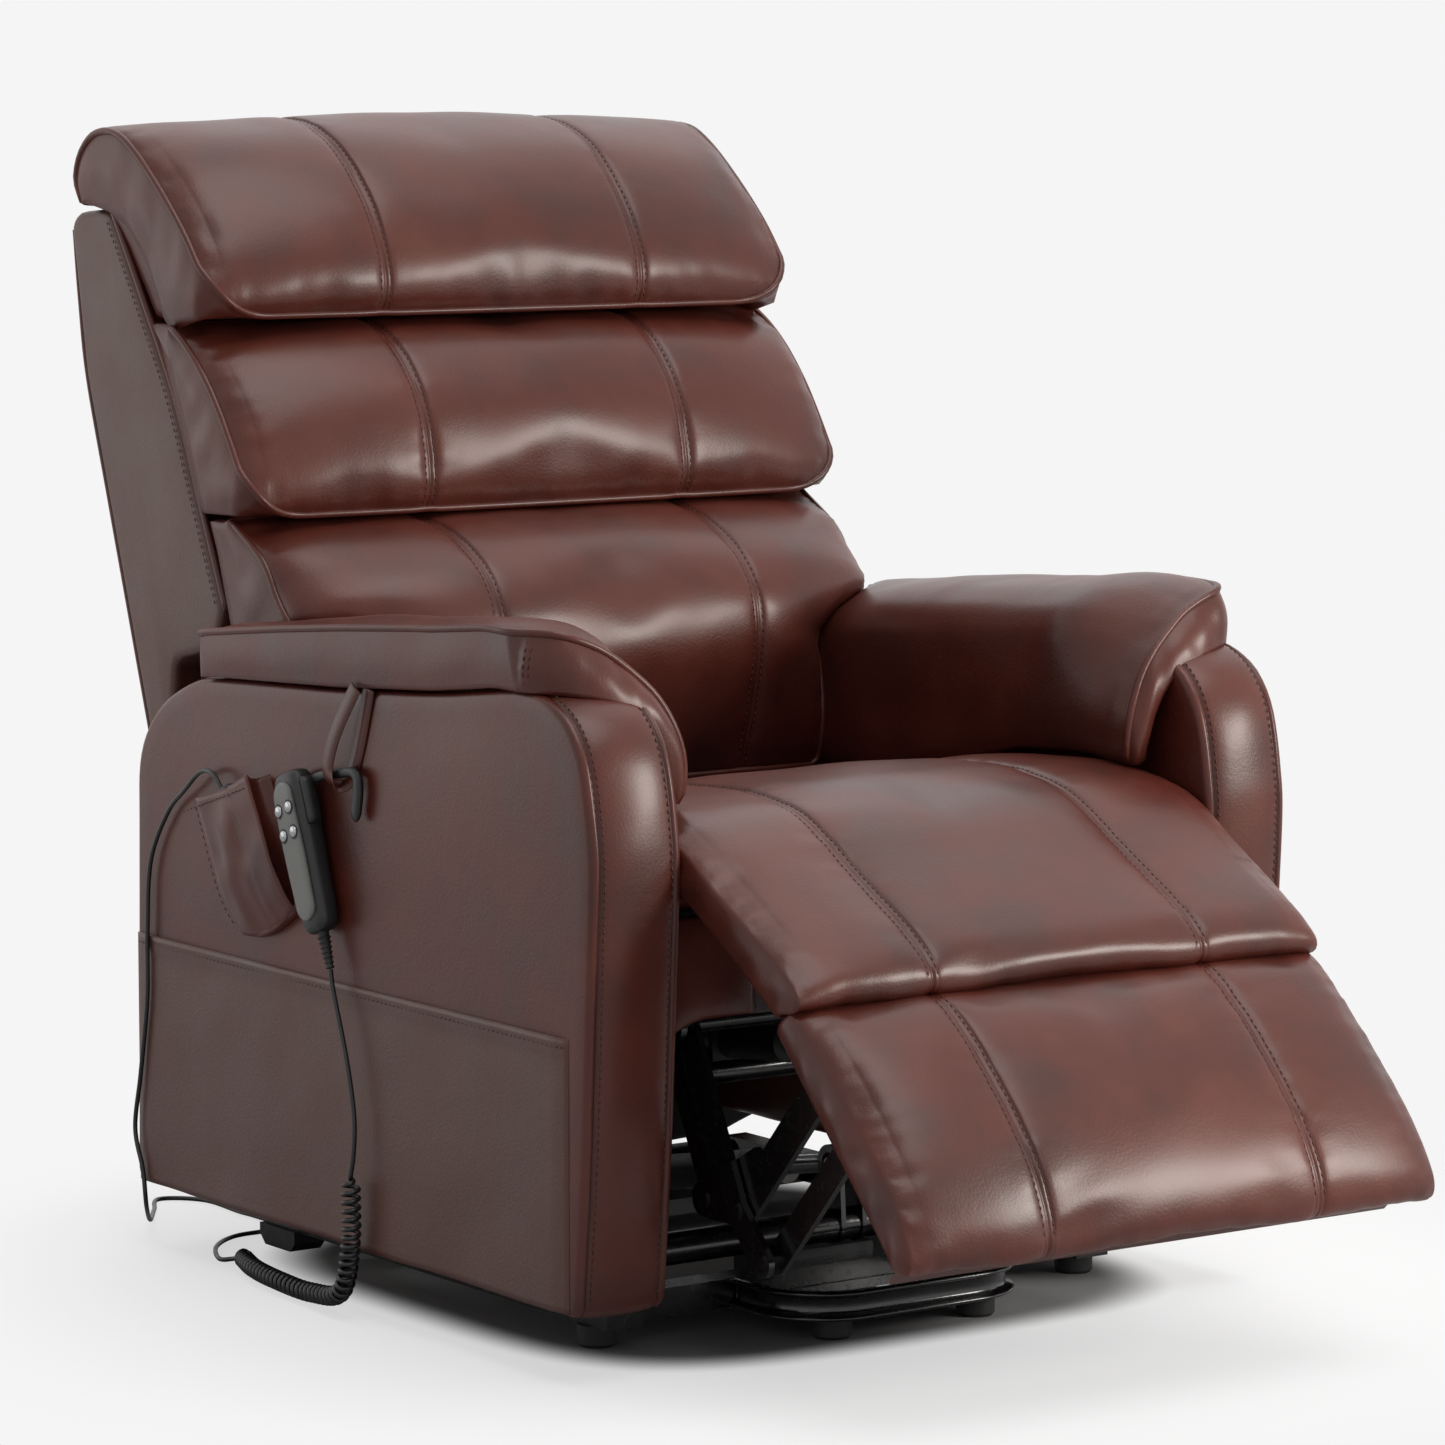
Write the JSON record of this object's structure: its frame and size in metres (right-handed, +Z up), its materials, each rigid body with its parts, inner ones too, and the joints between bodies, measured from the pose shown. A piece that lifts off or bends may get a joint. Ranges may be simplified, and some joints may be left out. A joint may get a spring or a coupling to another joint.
{
  "type": "lift recliner chair",
  "caption": "Brown leather lift recliner with pillow back, padded footrest part way open, black steel lift base and a corded hand control on its right arm.",
  "frame": {"origin": "on the floor, midway between the arms, which is also the middle of the chair front to back", "axes": "+X to the sitter's left, -Y to the front (the footrest), +Z up"},
  "size_m": [0.8155, 1.3359, 1.076],
  "materials": {
    "base_frame": "gloss black paint",
    "base_pins": "bright drawn steel",
    "front_loop": "gloss black paint",
    "front_feet": "matt black rubber",
    "rear_glides": "matt black rubber",
    "power_box": "matt moulded plastic",
    "lift_links": "gloss black paint",
    "rear_lift_links": "gloss black paint",
    "lift_motor": "matt moulded plastic",
    "lift_rod": "bright drawn steel",
    "mechanism_plates": "gloss black paint",
    "cross_tubes": "gloss black paint",
    "pivot_pins": "bright drawn steel",
    "seat_box": "plain plywood",
    "seat_front": "semi-gloss brown leather",
    "felt_strip": "plain woven fabric",
    "seat_cushion": "semi-gloss brown leather",
    "right_arm": "semi-gloss brown leather",
    "left_arm": "semi-gloss brown leather",
    "right_arm_pad": "semi-gloss brown leather",
    "left_arm_pad": "semi-gloss brown leather",
    "right_side_skirt": "semi-gloss brown leather",
    "left_side_skirt": "semi-gloss brown leather",
    "rear_panel": "plain woven fabric",
    "pocket": "semi-gloss brown leather",
    "hanger_strap": "semi-gloss brown leather",
    "hand_body": "matt moulded plastic",
    "hand_face": "matt moulded plastic",
    "hand_hook": "matt moulded plastic",
    "hand_grommet": "matt black rubber",
    "hand_cord": "matt black rubber",
    "curly_cord": "matt black rubber",
    "cord_tail": "matt black rubber",
    "pocket_control": "matt moulded plastic",
    "pocket_cord": "matt black rubber",
    "control_box": "matt moulded plastic",
    "knee_pad": "semi-gloss brown leather",
    "button_1": "bright chrome",
    "button_2": "bright chrome",
    "button_3": "bright chrome",
    "button_4": "bright chrome",
    "back_shell": "semi-gloss brown leather",
    "head_pillow": "semi-gloss brown leather",
    "mid_pillow": "semi-gloss brown leather",
    "lumbar_pillow": "semi-gloss brown leather",
    "lumbar_base": "semi-gloss brown leather",
    "back_bracket": "gloss black paint",
    "back_motor": "matt moulded plastic",
    "back_rod": "bright drawn steel",
    "leg_motor": "matt moulded plastic",
    "leg_rod": "bright drawn steel",
    "leg_drive_link": "gloss black paint",
    "dogleg_link": "gloss black paint",
    "guide_link": "gloss black paint",
    "straight_link": "gloss black paint",
    "footrest_bracket": "gloss black paint",
    "footrest_board": "plain plywood",
    "footrest_pad": "semi-gloss brown leather",
    "footrest_flap": "semi-gloss brown leather"
  },
  "bodies": {
    "base": {"base_frame": "base_frame", "base_pins": "base_pins", "front_loop": "front_loop", "front_feet": "front_feet", "rear_glides": "rear_glides", "power_box": "power_box"},
    "lift_link": {"lift_links": "lift_links"},
    "rear_link": {"rear_lift_links": "rear_lift_links"},
    "lift_actuator": {"lift_motor": "lift_motor"},
    "lift_push_rod": {"lift_rod": "lift_rod"},
    "chair": {"mechanism_plates": "mechanism_plates", "cross_tubes": "cross_tubes", "pivot_pins": "pivot_pins", "seat_box": "seat_box", "seat_front": "seat_front", "felt_strip": "felt_strip", "seat_cushion": "seat_cushion", "right_arm": "right_arm", "left_arm": "left_arm", "right_arm_pad": "right_arm_pad", "left_arm_pad": "left_arm_pad", "right_side_skirt": "right_side_skirt", "left_side_skirt": "left_side_skirt", "rear_panel": "rear_panel", "pocket": "pocket", "hanger_strap": "hanger_strap", "hand_body": "hand_body", "hand_face": "hand_face", "hand_hook": "hand_hook", "hand_grommet": "hand_grommet", "hand_cord": "hand_cord", "curly_cord": "curly_cord", "cord_tail": "cord_tail", "pocket_control": "pocket_control", "pocket_cord": "pocket_cord", "control_box": "control_box"},
    "knee_rest": {"knee_pad": "knee_pad"},
    "button_a": {"button_1": "button_1"},
    "button_b": {"button_2": "button_2"},
    "button_c": {"button_3": "button_3"},
    "button_d": {"button_4": "button_4"},
    "backrest": {"back_shell": "back_shell", "head_pillow": "head_pillow", "mid_pillow": "mid_pillow", "lumbar_pillow": "lumbar_pillow", "lumbar_base": "lumbar_base", "back_bracket": "back_bracket"},
    "back_actuator": {"back_motor": "back_motor"},
    "back_push_rod": {"back_rod": "back_rod"},
    "leg_actuator": {"leg_motor": "leg_motor"},
    "leg_push_rod": {"leg_rod": "leg_rod"},
    "drive_link": {"leg_drive_link": "leg_drive_link"},
    "dogleg": {"dogleg_link": "dogleg_link"},
    "guide": {"guide_link": "guide_link"},
    "straight": {"straight_link": "straight_link"},
    "footrest": {"footrest_bracket": "footrest_bracket", "footrest_board": "footrest_board", "footrest_pad": "footrest_pad", "footrest_flap": "footrest_flap"}
  },
  "joints": [
    {"name": "lift", "type": "hinge", "parent": "base", "child": "lift_link", "pos_m": [0, -0.172, 0.078], "axis": [1, 0, 0], "range_deg": [0, 52]},
    {"name": "chair_tilt", "type": "hinge", "parent": "lift_link", "child": "chair", "pos_m": [0, 0.085, 0.105], "axis": [1, 0, 0], "range_deg": [-31, 1]},
    {"name": "rear_link_turn", "type": "hinge", "parent": "base", "child": "rear_link", "pos_m": [0, -0.117, 0.111], "axis": [1, 0, 0], "range_deg": [-1, 45]},
    {"name": "lift_motor_swing", "type": "hinge", "parent": "base", "child": "lift_actuator", "pos_m": [0, 0.212, 0.06], "axis": [1, 0, 0], "range_deg": [-1, 4]},
    {"name": "lift_rod_travel", "type": "slide", "parent": "lift_actuator", "child": "lift_push_rod", "axis": [0, -0.9811, 0.1936], "range_m": [-0.001, 0.046]},
    {"name": "leg_lift", "type": "hinge", "parent": "chair", "child": "drive_link", "pos_m": [0, -0.256, 0.3], "axis": [-1, 0, 0], "range_deg": [-43, 41.5]},
    {"name": "dogleg_turn", "type": "hinge", "parent": "drive_link", "child": "dogleg", "pos_m": [0, -0.332, 0.144], "axis": [-1, 0, 0], "range_deg": [-42, 44]},
    {"name": "straight_turn", "type": "hinge", "parent": "drive_link", "child": "straight", "pos_m": [0, -0.37, 0.104], "axis": [-1, 0, 0], "range_deg": [-42, 44]},
    {"name": "guide_turn", "type": "hinge", "parent": "chair", "child": "guide", "pos_m": [0, -0.196, 0.3], "axis": [-1, 0, 0], "range_deg": [-44, 42]},
    {"name": "footrest_turn", "type": "hinge", "parent": "dogleg", "child": "footrest", "pos_m": [0, -0.467, 0.294], "axis": [-1, 0, 0], "range_deg": [-44, 42]},
    {"name": "knee_turn", "type": "hinge", "parent": "chair", "child": "knee_rest", "pos_m": [0, -0.391, 0.45], "axis": [-1, 0, 0], "range_deg": [-44, 42], "deforming": ["knee_pad"]},
    {"name": "leg_motor_swing", "type": "hinge", "parent": "chair", "child": "leg_actuator", "pos_m": [0, -0.04, 0.24], "axis": [-1, 0, 0], "range_deg": [-3, 3]},
    {"name": "leg_rod_travel", "type": "slide", "parent": "leg_actuator", "child": "leg_push_rod", "axis": [0, -0.9954, 0.096], "range_m": [-0.029, 0.028]},
    {"name": "recline", "type": "hinge", "parent": "chair", "child": "backrest", "pos_m": [0, 0.332, 0.3], "axis": [-1, 0, 0], "range_deg": [0, 35]},
    {"name": "back_motor_swing", "type": "hinge", "parent": "chair", "child": "back_actuator", "pos_m": [0, 0.06, 0.24], "axis": [-1, 0, 0], "range_deg": [-1, 5]},
    {"name": "back_rod_travel", "type": "slide", "parent": "back_actuator", "child": "back_push_rod", "axis": [0, 0.9999, -0.0158], "range_m": [-0.046, 0.001]},
    {"name": "press_1", "type": "slide", "parent": "chair", "child": "button_a", "axis": [1, 0, 0], "range_m": [0, 0.0015], "stiffness_N_per_m": 400},
    {"name": "press_2", "type": "slide", "parent": "chair", "child": "button_b", "axis": [1, 0, 0], "range_m": [0, 0.0015], "stiffness_N_per_m": 400},
    {"name": "press_3", "type": "slide", "parent": "chair", "child": "button_c", "axis": [1, 0, 0], "range_m": [0, 0.0015], "stiffness_N_per_m": 400},
    {"name": "press_4", "type": "slide", "parent": "chair", "child": "button_d", "axis": [1, 0, 0], "range_m": [0, 0.0015], "stiffness_N_per_m": 400}
  ],
  "couplings": [
    {"joint": "chair_tilt", "follows": "lift", "ratio": -0.57692},
    {"joint": "rear_link_turn", "follows": "lift", "ratio": 0.8473},
    {"joint": "lift_motor_swing", "follows": "lift", "ratio": 0.0626},
    {"joint": "lift_rod_travel", "follows": "lift", "m_per_rad": 0.049267},
    {"joint": "dogleg_turn", "follows": "leg_lift", "ratio": -1},
    {"joint": "straight_turn", "follows": "leg_lift", "ratio": -1},
    {"joint": "guide_turn", "follows": "leg_lift", "ratio": 1},
    {"joint": "footrest_turn", "follows": "leg_lift", "ratio": 1},
    {"joint": "knee_turn", "follows": "leg_lift", "ratio": 1},
    {"joint": "leg_motor_swing", "follows": "leg_lift", "ratio": 0.0317},
    {"joint": "leg_rod_travel", "follows": "leg_lift", "m_per_rad": 0.036248},
    {"joint": "back_motor_swing", "follows": "recline", "ratio": 0.1003},
    {"joint": "back_rod_travel", "follows": "recline", "m_per_rad": -0.07208}
  ]
}
